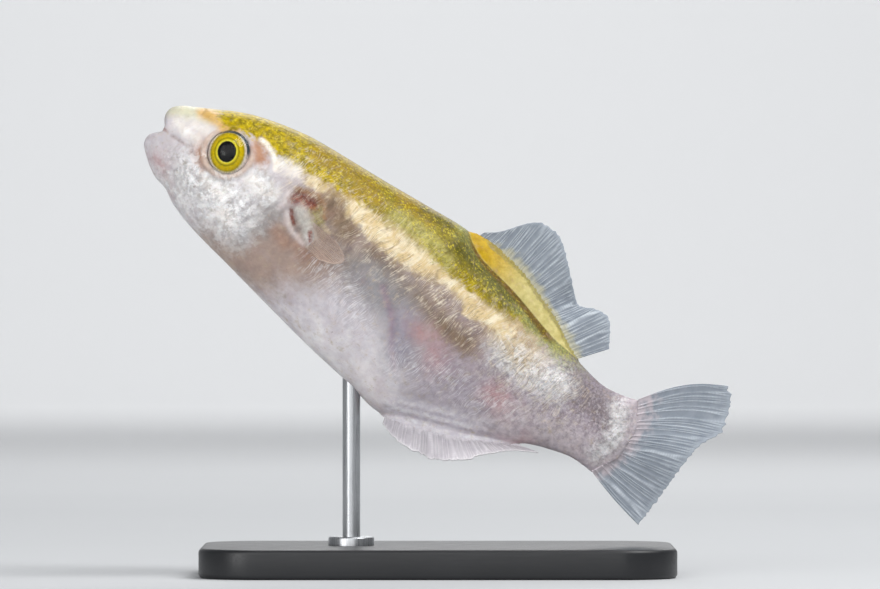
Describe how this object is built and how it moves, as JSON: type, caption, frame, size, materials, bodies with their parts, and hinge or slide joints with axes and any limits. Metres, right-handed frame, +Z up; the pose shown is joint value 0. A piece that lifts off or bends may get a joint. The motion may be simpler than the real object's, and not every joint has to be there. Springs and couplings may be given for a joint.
{
  "type": "freshwater pufferfish model",
  "caption": "Life-size golden freshwater pufferfish, swimming nose up with fins spread, held by a rod on a flat rounded display base.",
  "frame": {"origin": "centre of the bounding box, on the underside of the display base", "axes": "+Z up; the fish's nose points to -X and up, its tail to +X and down; its left side faces -Y and its right side +Y"},
  "size_m": [0.0794, 0.038, 0.0634],
  "materials": {
    "skin": "moist satin fish skin: olive-gold back, silver-white cheeks and belly",
    "eye": "wet gloss, golden iris round a black pupil",
    "fin": "translucent grey-blue membrane with pale rays",
    "stand_base": "satin black",
    "stand_rod": "brushed along its length"
  },
  "bodies": {
    "root": {"head": "skin", "upper_lip": "skin", "lower_lip": "skin", "trunk": "skin", "tail_stalk": "skin", "dorsal_fin_base": "skin", "anal_fin_base": "skin", "eye_left": "eye", "eye_right": "eye", "dorsal_fin": "fin", "anal_fin": "fin", "tail_fin": "fin", "pectoral_fin_left": "fin", "pectoral_fin_right": "fin", "stand_base": "stand_base", "stand_rod": "stand_rod"}
  },
  "joints": []
}
